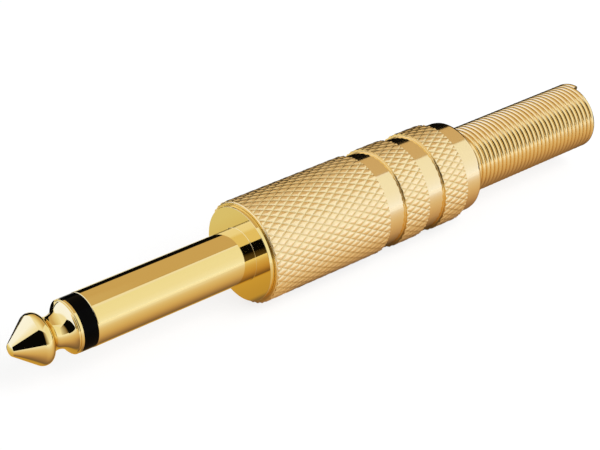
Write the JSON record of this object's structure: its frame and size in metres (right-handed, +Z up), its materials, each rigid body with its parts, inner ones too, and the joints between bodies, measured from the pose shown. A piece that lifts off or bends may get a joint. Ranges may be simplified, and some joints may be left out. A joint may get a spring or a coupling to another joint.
{
  "type": "phone plug",
  "caption": "Gold-plated two-pole phone plug with a knurled barrel that unscrews and a close-wound coil spring as strain relief.",
  "frame": {"origin": "on the plug's axis, at the front face of the flange that stops it in its jack", "axes": "+X along the axis from the tip to the cable end, +Z up, with the plug lying on its side"},
  "size_m": [0.0863, 0.0124, 0.0124],
  "materials": {
    "polished_gold": "gold-plated brass, polished",
    "satin_gold": "gold-plated brass, satin, knurled",
    "spring_gold": "gold-plated spring steel wire, satin",
    "lug_gold": "gold-plated brass sheet, stamped",
    "black_plastic": "moulded, smooth black",
    "tube_plastic": "extruded tube, natural",
    "bush_plastic": "turned laminate, dark brown",
    "liner_plastic": "extruded tube, milky"
  },
  "bodies": {
    "plug": {"tip_contact": "polished_gold", "tip_collar": "black_plastic", "rod_tube": "tube_plastic", "sleeve": "polished_gold", "ground_lug": "lug_gold", "rear_bush": "bush_plastic", "tip_lug": "lug_gold"},
    "liner_carriage": {"liner": "liner_plastic"},
    "barrel": {"barrel": "satin_gold"},
    "spring": {"relief_spring": "spring_gold"}
  },
  "joints": [
    {"name": "barrel_travel", "type": "slide", "parent": "plug", "child": "liner_carriage", "axis": [1, 0, 0], "range_m": [0, 0.0045]},
    {"name": "barrel_turn", "type": "hinge", "parent": "liner_carriage", "child": "barrel", "pos_m": [0, 0, 0], "axis": [1, 0, 0], "range_deg": [0, 2160]},
    {"name": "spring_spin", "type": "hinge", "parent": "barrel", "child": "spring", "pos_m": [0.03, 0, 0], "axis": [1, 0, 0], "continuous": true}
  ],
  "couplings": [
    {"joint": "barrel_travel", "follows": "barrel_turn", "m_per_rad": 0.00011937}
  ]
}
